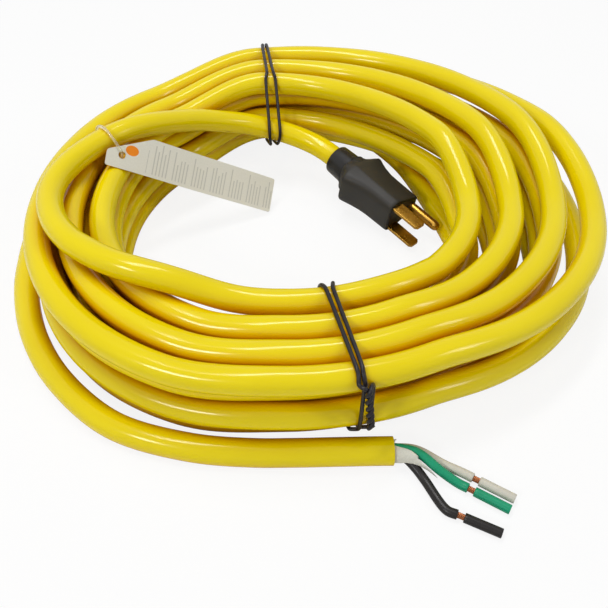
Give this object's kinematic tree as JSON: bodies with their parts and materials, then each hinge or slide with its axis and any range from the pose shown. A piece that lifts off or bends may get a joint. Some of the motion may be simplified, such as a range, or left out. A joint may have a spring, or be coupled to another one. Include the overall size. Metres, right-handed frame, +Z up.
{
  "type": "power supply cord",
  "caption": "Coiled yellow three-conductor power supply cord, tied with wire, with a moulded grounded plug on one end and stripped conductor ends on the other",
  "frame": {"origin": "middle of the underside of the coiled cord's bounding box, on the ground that it lies on", "axes": "+Z up, +X to the right and +Y to the back, seen from the side of the cut end"},
  "size_m": [0.2702, 0.28, 0.058],
  "materials": {
    "jacket": "yellow vinyl, glossy",
    "plug_moulding": "black moulded vinyl",
    "plug_bridge": "black moulded insert",
    "brass": "bright brass",
    "copper": "bare bunched copper strands",
    "green_insulation": "green vinyl",
    "white_insulation": "white vinyl",
    "black_insulation": "black vinyl",
    "filler": "twisted paper",
    "tag": "plain coated tag",
    "tie": "black coated tie wire",
    "loop": "clear nylon"
  },
  "bodies": {
    "cord": {"cord_coil": "jacket", "cord_lead": "jacket", "cord_tail": "jacket", "green_insulation": "green_insulation", "green_strands": "copper", "white_insulation": "white_insulation", "white_strands": "copper", "black_insulation": "black_insulation", "black_strands": "copper", "paper_wrap": "filler", "plug_body": "plug_moulding", "strain_relief": "plug_moulding", "line_blade": "brass", "line_conductor": "black_insulation", "line_strands": "copper", "neutral_blade": "brass", "neutral_conductor": "white_insulation", "neutral_strands": "copper", "ground_pin": "brass", "ground_conductor": "green_insulation", "ground_strands": "copper", "plug_insert": "plug_bridge", "front_tie": "tie", "rear_tie": "tie"},
    "tag": {"hang_tag": "tag", "tag_loop": "loop"},
    "green_slug_body": {"green_slug": "green_insulation"},
    "white_slug_body": {"white_slug": "white_insulation"},
    "black_slug_body": {"black_slug": "black_insulation"}
  },
  "joints": [
    {"name": "tag_swing", "type": "hinge", "parent": "cord", "child": "tag", "pos_m": [-0.08909, 0.02757, 0.05101], "axis": [-0.6608, -0.7506, 0.0058], "range_deg": [0, 120]},
    {"name": "green_slug_slide", "type": "slide", "parent": "cord", "child": "green_slug_body", "axis": [0.8511, -0.525, 0], "range_m": [-0.0022, 0.01]},
    {"name": "white_slug_slide", "type": "slide", "parent": "cord", "child": "white_slug_body", "axis": [0.8511, -0.525, 0], "range_m": [-0.0022, 0.01]},
    {"name": "black_slug_slide", "type": "slide", "parent": "cord", "child": "black_slug_body", "axis": [0.9, -0.436, 0], "range_m": [-0.0022, 0.01]}
  ]
}
